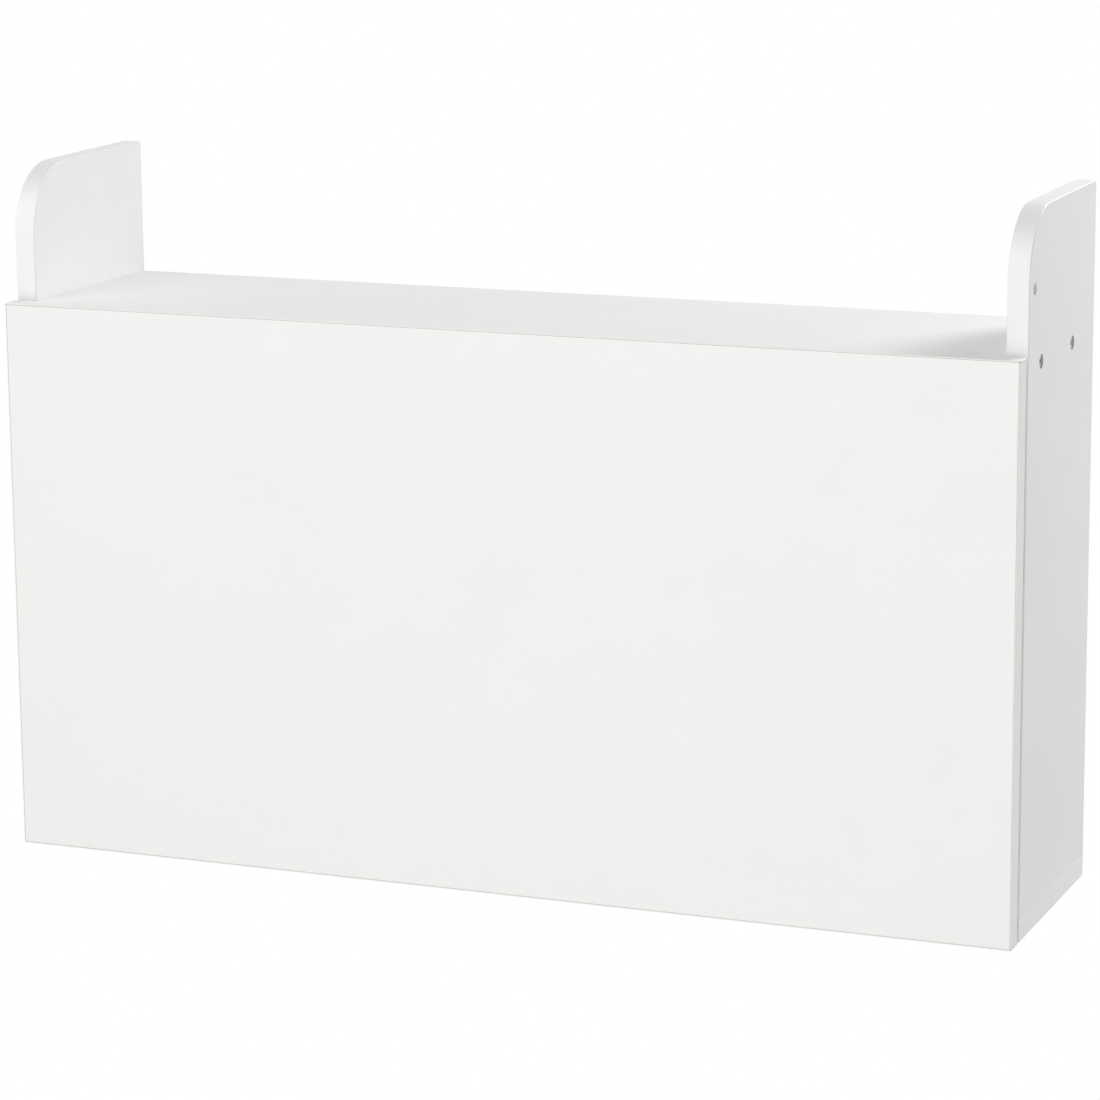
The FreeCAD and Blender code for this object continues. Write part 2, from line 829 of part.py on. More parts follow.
def stay_bar():
    """The right bar: a rivet hole at one end, and a slot along which the stud slides."""
    y, z = rivet_point()
    stud_y, stud_z = stud_point()
    x = bar_inner()
    reach = open_span() + fit
    blank = capsule((x, y, z), reach + bar_past_stud - bar_half_width, bar_half_width, bar_thickness)
    slot_start = stay_closed_span - bar_side_play
    slot_length = reach - slot_start
    through = bar_thickness + 2 * overcut
    slot = capsule((x - overcut, y + slot_start, z), slot_length, stud_shank_radius + fit, through)
    eye = rod(rivet_radius + fit, through, (x - overcut, y, z), RIGHT)
    bar = blank.cut([slot, eye])
    turn = math.degrees(math.atan2(stud_z - z, stud_y - y))
    bar.rotate(Vector(x, y, z), RIGHT, turn)
    return bar


def ear_outer():
    """X of the outer face of the right bracket's ear."""
    return bar_inner() - washer - washer_play


def stay_bracket():
    """The right bracket: a foot on the flap's inner face, and an ear that stands up from it."""
    y, z = rivet_point()
    ear_low = ear_outer() - bracket_sheet
    foot_top = flap_inner + bracket_sheet
    foot_start = ear_outer() - bracket_foot
    z_low = z - bracket_half_height
    z_high = z + bracket_half_height
    foot = box((foot_start, flap_inner, z_low), (ear_outer(), foot_top, z_high))
    inner_edges = [edge for edge in foot.Edges if near(edge.CenterOfMass.x, foot_start)]
    corners = [edge for edge in inner_edges if edge.BoundBox.YLength > bracket_sheet / 2]
    foot = foot.makeFillet(bracket_corner, corners)
    web = box((ear_low, flap_inner, z - bracket_ear_radius), (ear_outer(), y, z + bracket_ear_radius))
    ear = rod(bracket_ear_radius, bracket_sheet, (ear_low, y, z), RIGHT)
    through = bracket_sheet + 2 * overcut
    cutters = [rod(rivet_radius + fit, through, (ear_low - overcut, y, z), RIGHT)]
    cutters += [metal_hole(*place) for place in bracket_screw_seats()]
    return join([foot, web, ear]).cut(cutters)


def bracket_screw_seats():
    """Where the right bracket's screws enter the flap."""
    z = rivet_point()[1]
    foot_start = ear_outer() - bracket_foot
    return [((foot_start + offset, flap_inner, z), REAR) for offset in bracket_screw_offsets]


def stay_rivet():
    """The rivet that holds the right bar, its washer and the ear together."""
    y, z = rivet_point()
    start = ear_outer() - bracket_sheet
    end = bar_outer() + washer_play
    inner_head = rod(rivet_head_radius, rivet_head, (start - rivet_head, y, z), RIGHT)
    shank = rod(rivet_radius, end - start, (start, y, z), RIGHT)
    outer_head = rod(rivet_head_radius, rivet_head, (end, y, z), RIGHT)
    return join([inner_head, shank, outer_head])


def stay_washer():
    """The nylon washer between the right ear and its bar."""
    y, z = rivet_point()
    ring = rod(washer_radius, washer, (ear_outer(), y, z), RIGHT)
    return ring.cut(rod(rivet_radius + fit, washer + 2 * overcut, (ear_outer() - overcut, y, z), RIGHT))


# ---- Catches, strike plates and bumpers ----
def catch_front():
    """Y of the front face of a catch's housing."""
    return front - catch_proud


def magnet_middle():
    """Height of the middle of the magnets and of the strike plates."""
    return shelf_low - (catch_height + catch_lug_thickness) / 2


def magnet_block(grow):
    """The right catch's magnet, or its pocket when grown."""
    half_width = magnet_width / 2 + grow
    half_height = magnet_height / 2 + grow
    y_front = catch_front() - magnet_proud - grow
    y_rear = catch_front() + magnet_depth + grow
    low = (catch_offset - half_width, y_front, magnet_middle() - half_height)
    return box(low, (catch_offset + half_width, y_rear, magnet_middle() + half_height))


def catch_housing():
    """The right catch's housing: a box with a screw lug at each end."""
    rear = catch_front() + catch_depth
    half_width = catch_width / 2
    lug_reach = half_width + catch_lug
    block_low = (catch_offset - half_width, catch_front(), shelf_low - catch_height)
    block = box(block_low, (catch_offset + half_width, rear, shelf_low))
    lug_low = (catch_offset - lug_reach, front, shelf_low - catch_lug_thickness)
    lugs = box(lug_low, (catch_offset + lug_reach, rear, shelf_low))
    corners = [edge for edge in lugs.Edges if edge.BoundBox.ZLength > catch_lug_thickness / 2]
    lugs = lugs.makeFillet(lug_corner, corners)
    holes = [metal_hole(*place) for place in catch_screw_seats()]
    return join([block, lugs]).cut([magnet_block(fit)] + holes)


def catch_screw_seats():
    """Where the right catch's screws enter the top shelf."""
    y = front + (catch_depth - catch_proud) / 2
    reach = (catch_width + catch_lug) / 2
    return [((catch_offset + side * reach, y, shelf_low), DOWN) for side in (-1, 1)]


def strike_thickness():
    """Thickness of the strike plates, which end just short of the magnets."""
    return catch_front() - magnet_proud - catch_play - flap_inner


def strike_plate():
    """The steel plate on the flap that the right catch holds."""
    half_width = strike_screw_reach() + small_head_radius + strike_margin
    half_height = strike_height / 2
    low = (catch_offset - half_width, flap_inner, magnet_middle() - half_height)
    high = (catch_offset + half_width, flap_inner + strike_thickness(), magnet_middle() + half_height)
    plate = box(low, high)
    corners = [edge for edge in plate.Edges if edge.BoundBox.YLength > strike_thickness() / 2]
    plate = plate.makeFillet(strike_corner, corners)
    return plate.cut([metal_hole(*place) for place in strike_screw_seats()])


def strike_screw_reach():
    """Distance of a strike plate's screws from its middle, which keeps them beside the catch."""
    return catch_width / 2 + strike_margin + small_head_radius


def strike_screw_seats():
    """Where the right strike plate's screws enter the flap."""
    reach = strike_screw_reach()
    return [((catch_offset + side * reach, flap_inner, magnet_middle()), REAR) for side in (-1, 1)]


def bumper(height):
    """A soft round bumper on the right side's front edge."""
    thickness = flap_gap - bumper_play
    x = half - board / 2
    disc = rod(bumper_radius, thickness, (x, front, height), FRONT)
    rim = [edge for edge in disc.Edges if near(edge.CenterOfMass.y, front - thickness)]
    return disc.makeFillet(bumper_edge, rim)


def screws_on(seats, seat_thickness):
    """Small screws whose heads stand on metal of this thickness at their seats."""
    screws = []
    for seat, direction in seats:
        head = Vector(*seat) + direction * (seat_thickness + small_head)
        screws.append(placed(cross_screw(), tuple(head), direction))
    return screws


# ---- The whole desk ----
def carcass():
    """The boards, bands and panel of the cabinet."""
    right_core = side_core()
    right_strip = side_band()
    shelf_core, shelf_strip = top_shelf()
    middle_core, middle_strip = middle_shelf()
    bottom_core, bottom_strip, bottom_ends = bottom_board()
    divider_core, divider_strip = right_divider()
    return {
        "left_side": mirrored([right_core]),
        "right_side": [right_core],
        "left_side_band": mirrored([right_strip]),
        "right_side_band": [right_strip],
        "top_shelf": [shelf_core],
        "top_shelf_band": [shelf_strip],
        "middle_shelf": [middle_core],
        "middle_shelf_band": [middle_strip],
        "bottom_board": [bottom_core],
        "bottom_front_band": [bottom_strip],
        "bottom_end_bands": bottom_ends,
        "left_divider": mirrored([divider_core]),
        "right_divider": [divider_core],
        "divider_bands": both([divider_strip]),
        "back_panel": [rear_panel()],
        "upper_rail": [rail(upper_rail_low)],
        "lower_rail": [rail(board)],
    }


def fittings():
    """The fasteners that hold the cabinet together."""
    cams = shelf_fittings() + [rail_fitting(upper_hole), rail_fitting(lower_hole)]
    return {
        "top_shelf_screws": both([placed(socket_screw(), *place) for place in top_shelf_screw_places()]),
        "bottom_board_screws": both([placed(socket_screw(), *place) for place in bottom_screw_places()]),
        "divider_screws": both([placed(socket_screw(), *place) for place in divider_screw_places()]),
        "wood_dowels": both([placed(dowel(), *place) for place in dowel_places()]),
        "cam_locks": both([cam["cam"] for cam in cams]),
        "cam_bolts": both([cam["bolt"] for cam in cams]),
    }


def hinge_sets():
    """The hinges and their screws."""
    plate_screws = []
    arm_screws = []
    for index, seat in enumerate(plate_screw_seats()):
        in_arm = index % 3 == 1
        metal = plate_thickness + arm_thickness if in_arm else plate_thickness
        target = arm_screws if in_arm else plate_screws
        target += screws_on([seat], metal)
    return {
        "hinge_cups": [hinge_cup(x) for x in hinge_offsets],
        "hinge_pins": [hinge_pin(x) for x in hinge_offsets],
        "hinge_arms": [hinge_arm(x) for x in hinge_offsets],
        "hinge_plates": [hinge_plate(x) for x in hinge_offsets],
        "hinge_cup_screws": screws_on(cup_screw_seats(), flange_thickness),
        "hinge_plate_screws": plate_screws,
        "hinge_arm_screws": arm_screws,
    }


def stays():
    """The flap's two stays."""
    return {
        "left_stay_bar": mirrored([stay_bar()]),
        "right_stay_bar": [stay_bar()],
        "left_stay_bracket": mirrored([stay_bracket()]),
        "right_stay_bracket": [stay_bracket()],
        "stay_bracket_screws": both(screws_on(bracket_screw_seats(), bracket_sheet)),
        "stay_rivets": both([stay_rivet()]),
        "stay_washers": both([stay_washer()]),
        "stay_studs": both([stay_stud()]),
    }


def catches():
    """The magnetic catches, their strike plates and the bumpers."""
    return {
        "catch_housings": both([catch_housing()]),
        "catch_magnets": both([magnet_block(0)]),
        "catch_screws": both(screws_on(catch_screw_seats(), catch_lug_thickness)),
        "strike_plates": both([strike_plate()]),
        "strike_screws": both(screws_on(strike_screw_seats(), strike_thickness())),
        "bumpers": both([bumper(height) for height in bumper_heights]),
    }


def whole_desk():
    """Every node's solids, by name."""
    nodes = {}
    for group in (carcass(), fittings(), hinge_sets(), stays(), catches()):
        nodes.update(group)
    flap_core, flap_top, flap_bottom, flap_left, flap_right = flap()
    nodes["flap_board"] = [flap_core]
    nodes["flap_top_band"] = [flap_top]
    nodes["flap_bottom_band"] = [flap_bottom]
    nodes["flap_left_band"] = [flap_left]
    nodes["flap_right_band"] = [flap_right]
    return nodes


os.makedirs("parts", exist_ok=True)
for name, shapes in whole_desk().items():
    solids = [solid for shape in shapes for solid in shape.Solids]
    shape = solids[0] if len(solids) == 1 else Part.makeCompound(solids)
    shape.translate(DOWN * origin_height)
    shape.exportStep(f"parts/{name}.step")
    print(f"{name}: {len(solids)} solid(s), {shape.Volume / 1000:.1f} cm3, valid {shape.isValid()}")
print(f"hinge axis: y {axis_y:.3f}, z {axis_z - origin_height:.3f}")
print(f"rivet: y {rivet_point()[0]:.4f}, z {rivet_point()[1] - origin_height:.4f}")
print(f"stud: y {stud_point()[0]:.4f}, z {stud_point()[1] - origin_height:.4f}")
print(f"wall screws: {wall_hole_spacing:.1f} by {upper_hole - lower_hole:.1f}")
print(f"origin: {origin_height:.2f} above the underside")
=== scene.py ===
# %% [markdown]
# # A fold-down wall desk, and how its finishes are made
#
# The desk is a shallow cabinet of white melamine boards that hangs on a wall. Its front is a
# flap that folds down to make the table top. The shapes of all its boards, hinges, stays and
# screws are already exact, so what is left is what the eye reads as material: paper-faced
# chipboard, plastic edging, plated steel, cast zinc, beech, nylon and rubber. Each of them is
# worked out from how the real thing is made, and given its sizes in real millimetres.

import json
import math

import bpy
import numpy as np
from mathutils import Matrix, Vector


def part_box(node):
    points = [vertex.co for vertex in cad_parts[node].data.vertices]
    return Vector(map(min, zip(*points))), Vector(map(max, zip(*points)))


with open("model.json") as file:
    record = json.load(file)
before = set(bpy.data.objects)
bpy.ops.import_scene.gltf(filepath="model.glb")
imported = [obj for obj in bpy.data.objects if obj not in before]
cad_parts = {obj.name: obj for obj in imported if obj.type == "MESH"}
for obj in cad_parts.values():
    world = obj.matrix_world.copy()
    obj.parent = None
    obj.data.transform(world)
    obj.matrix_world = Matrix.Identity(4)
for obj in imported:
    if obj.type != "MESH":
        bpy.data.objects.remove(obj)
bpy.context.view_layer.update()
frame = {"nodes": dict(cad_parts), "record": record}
nodes = frame["nodes"]

# %% [markdown]
# ## Colours and nodes
#
# A colour is easiest to choose and to compare as an sRGB hex value, but a shader works in
# linear light, so one function turns one into the other. A material is a small network of
# nodes. Writing each link by hand hides what the network does, so one helper adds a node,
# sets it up and joins it to what feeds it.
#
# A socket goes by its name, or by its place where several share a name. A Math node's inputs
# are 0 and 1. A Mix has its factor at 0, and a pair of inputs for each kind of data. A Map
# Range has its value at 0, the range that it comes from at 1 and 2, and the range that it goes
# to at 3 and 4.

# %% Hex to linear
MM = 0.001


def linear(hex_colour):
    """Linear RGBA of an sRGB hex value.

    Each channel is c / 12.92 up to 0.04045, and ((c + 0.055) / 1.055) ^ 2.4 above it.
    """
    srgb = np.array([int(hex_colour[i:i + 2], 16) for i in (1, 3, 5)]) / 255
    light = np.where(srgb <= 0.04045, srgb / 12.92, ((srgb + 0.055) / 1.055) ** 2.4)
    return (*light.tolist(), 1.0)


print("mid grey #808080 in linear light:", round(linear("#808080")[0], 3))

# %% One helper that adds a node
NUMBER_A, NUMBER_B = 2, 3  # a Mix node's two inputs for numbers
VECTOR_A, VECTOR_B = 4, 5  # for vectors
MIX_A, MIX_B = 6, 7  # and for colours
MIX_VECTOR, MIX_COLOUR = 1, 2  # and the outputs that carry a vector or a colour
NOISE_LOW, NOISE_HIGH = 0.3, 0.7  # most of a noise texture's values lie between these,
CLOUD_LOW, CLOUD_HIGH = 0.35, 0.65  # and these cut it into clearer patches


def add(tree, kind, inputs, **settings):
    """Adds one node. An input takes a value, an output, or a node, for its first output."""
    node = tree.nodes.new("ShaderNode" + kind)
    for name, value in settings.items():
        setattr(node, name, value)
    for key, value in inputs.items():
        if isinstance(value, bpy.types.Node):
            value = value.outputs[0]
        if isinstance(value, bpy.types.NodeSocket):
            tree.links.new(value, node.inputs[key])
        else:
            node.inputs[key].default_value = value
    return node


def new_material(name):
    """An empty material, its node tree, and the point on the object that is being shaded."""
    material = bpy.data.materials.new(name)
    material.use_nodes = True
    tree = material.node_tree
    tree.nodes.clear()
    return material, tree, add(tree, "TexCoord", {}).outputs["Object"]


def finished(material, tree, shader):
    """Joins the shader to the material's surface."""
    add(tree, "OutputMaterial", {"Surface": shader})
    return material


def dress(material, *names):
    """Puts a material in every slot of some CAD nodes, whose shapes stay as they are."""
    for name in names:
        slots = nodes[name].data.materials
        for i in range(len(slots)):
            slots[i] = material


# %% [markdown]
# ## Where a board's face ends
#
# A melamine board is chipboard with a sheet of resin-soaked paper pressed on each broad face.
# The paper and the chips that its resin soaks are a third of a millimetre thick, so a drilled
# hole, a groove or an uncovered rear edge shows bare chips, and a shallow dent does not. To tell
# the two apart, a material measures how far a point lies from the planes of the board's faces.
# The same measure draws the hairline of glue between a board and its edge band.

# %% Distance to the planes of a box
NO_PLANE = 9.0  # metres: a half size that leaves an axis out


def near_planes(tree, point, centre, half, width):
    """1 near a plane of the box centre +- half, else 0: the least of ||p - c| - h| < width."""
    offset = add(tree, "VectorMath", {0: point, 1: centre}, operation="SUBTRACT")
    mirrored = add(tree, "VectorMath", {0: offset}, operation="ABSOLUTE")
    past = add(tree, "VectorMath", {0: mirrored, 1: half}, operation="SUBTRACT")
    distance = add(tree, "VectorMath", {0: past}, operation="ABSOLUTE")
    x, y, z = add(tree, "SeparateXYZ", {0: distance}).outputs
    least = add(tree, "Math", {0: x, 1: y}, operation="MINIMUM")
    least = add(tree, "Math", {0: least, 1: z}, operation="MINIMUM")
    return add(tree, "Math", {0: least, 1: width}, operation="LESS_THAN")


def near_arc(tree, point, centre, radius, width):
    """1 near a side's joint, else 0: the part of p - c ahead and up is within width of r long."""
    offset = add(tree, "VectorMath", {0: point, 1: centre}, operation="SUBTRACT")
    turned = add(tree, "VectorMath", {0: offset, 1: (0, -1, 1)}, operation="MULTIPLY")
    ahead = add(tree, "VectorMath", {0: turned, 1: (0, 0, 0)}, operation="MAXIMUM")
    reach = add(tree, "VectorMath", {0: ahead}, operation="LENGTH").outputs["Value"]
    past = add(tree, "Math", {0: reach, 1: radius}, operation="SUBTRACT")
    distance = add(tree, "Math", {0: past}, operation="ABSOLUTE")
    return add(tree, "Math", {0: distance, 1: width}, operation="LESS_THAN")


# %% Each board's joints with its bands
BAND = 1.0 * MM
EAR_RADIUS = 52 * MM - BAND  # of the side's core, inside its band
JOINT_WIDTH = 0.2 * MM  # each side of the joint: glue and the milled corner together


def joint_of(board, banded):
    """Centre and half sizes of the planes where a board meets its bands, from its own box."""
    low, high = (np.array(corner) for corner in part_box(board))
    centre, half = (low + high) / 2, (high - low) / 2
    half = np.where([axis in banded for axis in "xyz"], half, NO_PLANE)
    if "front" in banded:
        centre[1], half[1] = low[1], 0.0
    return tuple(centre), tuple(half)


JOINTS = {
    "flap_board": joint_of("flap_board", ["x", "z"]),
    "top_shelf": joint_of("top_shelf", ["front"]),
    "middle_shelf": joint_of("middle_shelf", ["front"]),
    "bottom_board": joint_of("bottom_board", ["x", "front"]),
    "left_divider": joint_of("left_divider", ["front"]),
    "right_divider": joint_of("right_divider", ["front"]),
}
print("glue line of the top shelf at y =", round(JOINTS["top_shelf"][0][1] / MM, 2), "mm")


def glue_line(tree, point, board):
    """1 on the hairline between a board and its bands, else 0."""
    if board in ("left_side", "right_side"):
        low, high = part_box(board)
        centre = (0, low.y + EAR_RADIUS, high.z - EAR_RADIUS)
        return near_arc(tree, point, centre, EAR_RADIUS, JOINT_WIDTH)
    if board in JOINTS:
        return near_planes(tree, point, *JOINTS[board], JOINT_WIDTH)
    return None


# %% [markdown]
# ## White melamine on chipboard
#
# The paper is white with a trace of grey-yellow, and its clear resin skin has a satin gloss:
# an IOR near 1.5 and a middling roughness. The press plate leaves a fine pearl emboss in it,
# cells of about 0.7 mm and a few hundredths deep, drawn here at 1.4 mm because smaller ones
# would vanish between two pixels. The tone wanders a little from spot to spot as the chips
# below show through the paper.
#
# Chipboard has three layers. The core is wood chips a few millimetres long and under a
# millimetre thick, pressed flat. A Voronoi pattern squeezed across the board gives such flat
# chips, and each cell's own random colour picks a shade of wood between pale sapwood and dark
# bark. The two skins, a few millimetres thick, are dust-fine and paler, so that the paper lies
# smooth on them. They are what shows in a screw's recess and at the mouth of a hole.
#
# Two things change the chips' colour, and both are painted light. The holes in the ears stay
# open to view, and painted light makes their chips nearly white, with only a little cream
# showing through. In the recess round a screw head, painted shade turns the chips grey.

# %% The colours of a board
CABINET_PAPER = linear("#F4F4F4"), linear("#F2F2F2")
FLAP_PAPER = linear("#F4F4F3"), linear("#F2F2F0")
CHIP_PALE, CHIP_DARK, CHIP_GAP = linear("#E9DDC4"), linear("#CDB48C"), linear("#94795A")
GLUE, THIN_GLUE = linear("#B6B5A9"), linear("#E2E2DF")
EMBOSS_CELL, EMBOSS_DEPTH = 1.4 * MM, 0.02 * MM
CLOUD = 60 * MM  # the size of the paper's tone changes
CHIP_LENGTH, CHIP_THICKNESS = 3.5 * MM, 0.8 * MM
GAP_STARTS, GAP_FULL, GAP_SHADE = 0.5, 0.8, 0.7  # from a chip's middle; how dark a gap gets
CHIP_RELIEF, CHIP_STRENGTH = 0.2 * MM, 0.6
SKIN_PALE, SKIN_DARK = linear("#F6EEDC"), linear("#E3D5B8")
SKIN_DEPTH, SKIN_GRAIN = 3.5 * MM, 0.6 * MM
FACE_DEPTH = 0.35 * MM  # the paper, and the chips just under it that the resin soaks
PAPER_ROUGHNESS, CHIP_ROUGHNESS = (0.42, 0.50), 0.9
RESIN_IOR = 1.5


def glue_colour(board):
    """The flap's joints show olive-grey; the cabinet's are pressed tighter and hardly show."""
    return GLUE if board == "flap_board" else THIN_GLUE


def wood_chips(tree, point, across, skin):
    """Colour and height of bare chipboard: chips flat across one axis, fine dust in the skin."""
    squeeze = [1 / CHIP_LENGTH] * 3
    squeeze[across] = 1 / CHIP_THICKNESS
    stretched = add(tree, "VectorMath", {0: point, 1: squeeze}, operation="MULTIPLY")
    chips = add(tree, "TexVoronoi", {"Vector": stretched, "Scale": 1.0})
    shade = add(tree, "SeparateColor", {0: chips.outputs["Color"]})
    wood = add(tree, "Mix", {0: shade, MIX_A: CHIP_PALE, MIX_B: CHIP_DARK}, data_type="RGBA")
    gaps = add(tree, "MapRange", {0: chips.outputs["Distance"], 1: GAP_STARTS, 2: GAP_FULL,
                                  3: 0.0, 4: GAP_SHADE})
    core = add(tree, "Mix", {0: gaps, MIX_A: wood.outputs[MIX_COLOUR], MIX_B: CHIP_GAP},
               data_type="RGBA")
    dust = add(tree, "TexNoise", {"Vector": point, "Scale": 1 / SKIN_GRAIN, "Detail": 2.0})
    fine = add(tree, "Mix", {0: dust, MIX_A: SKIN_PALE, MIX_B: SKIN_DARK}, data_type="RGBA")
    colour = add(tree, "Mix", {0: skin, MIX_A: core.outputs[MIX_COLOUR],
                               MIX_B: fine.outputs[MIX_COLOUR]}, data_type="RGBA")
    return colour.outputs[MIX_COLOUR], chips.outputs["Distance"]


# %% Painted light in the ear holes, painted shade in the screw recesses
mounts = {mount["name"]: mount for mount in frame["record"]["mounts"]}
EAR_HOLE = mounts["right_ear_hole"]
HOLE_RADIUS = EAR_HOLE["dims"]["r_mm"] * MM
HEAD_RADIUS = 5 * MM
RIM_MARGIN = 0.5 * MM  # how far past a hole's or a head's rim its colour reaches
# painted light for the chips in the ear holes, and painted shade for the chips in the screw
# recesses
PAINTED_HOLE_LIGHT, PAINTED_RECESS_SHADE = linear("#F9F6EF"), linear("#B3A698")
RECESSED = {"left_side": "top_shelf_screws", "right_side": "top_shelf_screws",
            "bottom_board": "bottom_board_screws"}


def near_lines(tree, point, centre, half, across, radius):
    """1 near lines across a board at centre +- half: the length of ||p - c| - h| < radius."""
    flat = [float(axis != across) for axis in range(3)]
    offset = add(tree, "VectorMath", {0: point, 1: centre}, operation="SUBTRACT")
    mirrored = add(tree, "VectorMath", {0: offset}, operation="ABSOLUTE")
    past = add(tree, "VectorMath", {0: mirrored, 1: half}, operation="SUBTRACT")
    beside = add(tree, "VectorMath", {0: past, 1: flat}, operation="MULTIPLY")
    reach = add(tree, "VectorMath", {0: beside}, operation="LENGTH").outputs["Value"]
    return add(tree, "Math", {0: reach, 1: radius}, operation="LESS_THAN")


def bored_chips(tree, point, board, across, chips):
    """The chips' colour, with painted shade round the heads of a board's screws and painted light
    in an ear hole.
    """
    if board in RECESSED:
        low, high = (np.array(corner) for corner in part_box(RECESSED[board]))
        half = (high - low) / 2 - HEAD_RADIUS  # from the middle of the screws to their heads' axes
        half = np.where(abs(half) < MM, 0.0, half)
        # painted shade on the chips in the recess round each screw head
        painted_shade_mask = near_lines(tree, point, tuple((low + high) / 2), tuple(half), across,
                            HEAD_RADIUS + RIM_MARGIN)
        chips = add(tree, "Mix", {0: painted_shade_mask, MIX_A: chips, MIX_B: PAINTED_RECESS_SHADE},
                    data_type="RGBA").outputs[MIX_COLOUR]
    if board in ("left_side", "right_side"):
        # painted light: the chips in the ear hole are made nearly white, as if lit
        painted_light_mask = near_lines(tree, point, EAR_HOLE["pos_m"], (0, 0, 0), across,
                            HOLE_RADIUS + RIM_MARGIN)
        chips = add(tree, "Mix", {0: painted_light_mask, MIX_A: chips, MIX_B: PAINTED_HOLE_LIGHT},
                    data_type="RGBA").outputs[MIX_COLOUR]
    return chips


# %% The board's material
def melamine_board(board):
    """Melamine on chipboard for one board. The axis across it is the thinnest side of its box."""
    low, high = (np.array(corner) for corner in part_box(board))
    half = (high - low) / 2
    across = int(np.argmin(half))
    faces = np.where(np.arange(3) == across, half, NO_PLANE)
    material, tree, point = new_material("white_melamine_" + board)
    middle = tuple((low + high) / 2)
    papered = near_planes(tree, point, middle, tuple(faces), FACE_DEPTH)
    skin = near_planes(tree, point, middle, tuple(faces), SKIN_DEPTH)
    cloud = add(tree, "TexNoise", {"Vector": point, "Scale": 1 / CLOUD, "Detail": 3.0})
    white, shade = FLAP_PAPER if board == "flap_board" else CABINET_PAPER
    paper = add(tree, "Mix", {0: cloud, MIX_A: white, MIX_B: shade}, data_type="RGBA")
    chips, chip_height = wood_chips(tree, point, across, skin)
    chips = bored_chips(tree, point, board, across, chips)
    colour = add(tree, "Mix", {0: papered, MIX_A: chips, MIX_B: paper.outputs[MIX_COLOUR]},
                 data_type="RGBA")
    line = glue_line(tree, point, board)
    if line:
        colour = add(tree, "Mix", {0: line, MIX_A: colour.outputs[MIX_COLOUR],
                                   MIX_B: glue_colour(board)}, data_type="RGBA")
    emboss = add(tree, "TexNoise", {"Vector": point, "Scale": 1 / EMBOSS_CELL, "Detail": 1.0})
    gloss = add(tree, "MapRange", {0: cloud, 1: NOISE_LOW, 2: NOISE_HIGH, 3: PAPER_ROUGHNESS[0],
                                   4: PAPER_ROUGHNESS[1]})
    roughness = add(tree, "Mix", {0: papered, NUMBER_A: CHIP_ROUGHNESS, NUMBER_B: gloss})
    chip_bump = add(tree, "Bump", {"Height": chip_height, "Distance": CHIP_RELIEF,
                                   "Strength": CHIP_STRENGTH})
    paper_bump = add(tree, "Bump", {"Height": emboss, "Distance": EMBOSS_DEPTH})
    normal = add(tree, "Mix", {0: papered, VECTOR_A: chip_bump, VECTOR_B: paper_bump},
                 data_type="VECTOR")
    shader = add(tree, "BsdfPrincipled", {
        "Base Color": colour.outputs[MIX_COLOUR], "Roughness": roughness,
        "Normal": normal.outputs[MIX_VECTOR], "IOR": RESIN_IOR})
    return finished(material, tree, shader)


BOARDS = ("left_side", "right_side", "top_shelf", "middle_shelf", "bottom_board",
          "left_divider", "right_divider", "upper_rail", "lower_rail", "flap_board")
for board in BOARDS:
    dress(melamine_board(board), board)
print(len(BOARDS), "boards papered")

# %% [markdown]
# ## ABS edge bands
#
# The visible edges are covered with a 1 mm strip of ABS plastic, glued on hot and milled
# flush, with its long corners rounded. ABS is a little glossier than the paper, its IOR is
# 1.54, and extruding the strip leaves faint lines along it, half a millimetre or so apart.
# Where the strip meets the board, the milled joint shows as a thin olive-grey line. The long
# corners of the bottom board's ends carry a painted highlight, pure white where the rounded corner
# catches the light.

# %% Extruded strip
STRIP, STRIP_SHADE = linear("#F6F6F5"), linear("#F2F2F1")
# a painted highlight along the long corners of the bottom board's ends
PAINTED_HIGHLIGHT = linear("#FFFFFF")
LINE_LENGTH, LINE_SPACING, LINE_DEPTH = 60 * MM, 0.5 * MM, 0.01 * MM
STRIP_CLOUD = 25 * MM
STRIP_ROUGHNESS = 0.40, 0.52
ABS_IOR = 1.54
HIGHLIGHT_WIDTH = 0.9 * MM  # how far the painted highlight reaches from a long corner


def edge_band(name, board, across):
    """ABS edging whose extrusion lines are stacked along one axis, the one across the board."""
    material, tree, point = new_material("white_abs_band_" + name)
    squeeze = [1 / LINE_LENGTH] * 3
    squeeze[across] = 1 / LINE_SPACING
    stretched = add(tree, "VectorMath", {0: point, 1: squeeze}, operation="MULTIPLY")
    lines = add(tree, "TexNoise", {"Vector": stretched, "Scale": 1.0, "Detail": 2.0})
    cloud = add(tree, "TexNoise", {"Vector": point, "Scale": 1 / STRIP_CLOUD, "Detail": 3.0})
    plastic = add(tree, "Mix", {0: cloud, MIX_A: STRIP, MIX_B: STRIP_SHADE}, data_type="RGBA")
    line = glue_line(tree, point, board)
    colour = add(tree, "Mix", {0: line, MIX_A: plastic.outputs[MIX_COLOUR],
                               MIX_B: glue_colour(board)}, data_type="RGBA")
    # painted highlight: the long corners of the bottom board's ends are made pure white, as if
    # catching the light
    if name == "bottom_end_bands":
        low, high = (np.array(corner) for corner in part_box(name))
        half = (NO_PLANE, NO_PLANE, (high[2] - low[2]) / 2)
        corner = near_planes(tree, point, tuple((low + high) / 2), half, HIGHLIGHT_WIDTH)
        colour = add(tree, "Mix", {0: corner, MIX_A: colour.outputs[MIX_COLOUR],
                                   MIX_B: PAINTED_HIGHLIGHT}, data_type="RGBA")
    gloss = add(tree, "MapRange", {0: lines, 1: NOISE_LOW, 2: NOISE_HIGH, 3: STRIP_ROUGHNESS[0],
                                   4: STRIP_ROUGHNESS[1]})
    bump = add(tree, "Bump", {"Height": lines, "Distance": LINE_DEPTH})
    shader = add(tree, "BsdfPrincipled", {
        "Base Color": colour.outputs[MIX_COLOUR], "Roughness": gloss, "Normal": bump,
        "IOR": ABS_IOR})
    return finished(material, tree, shader)


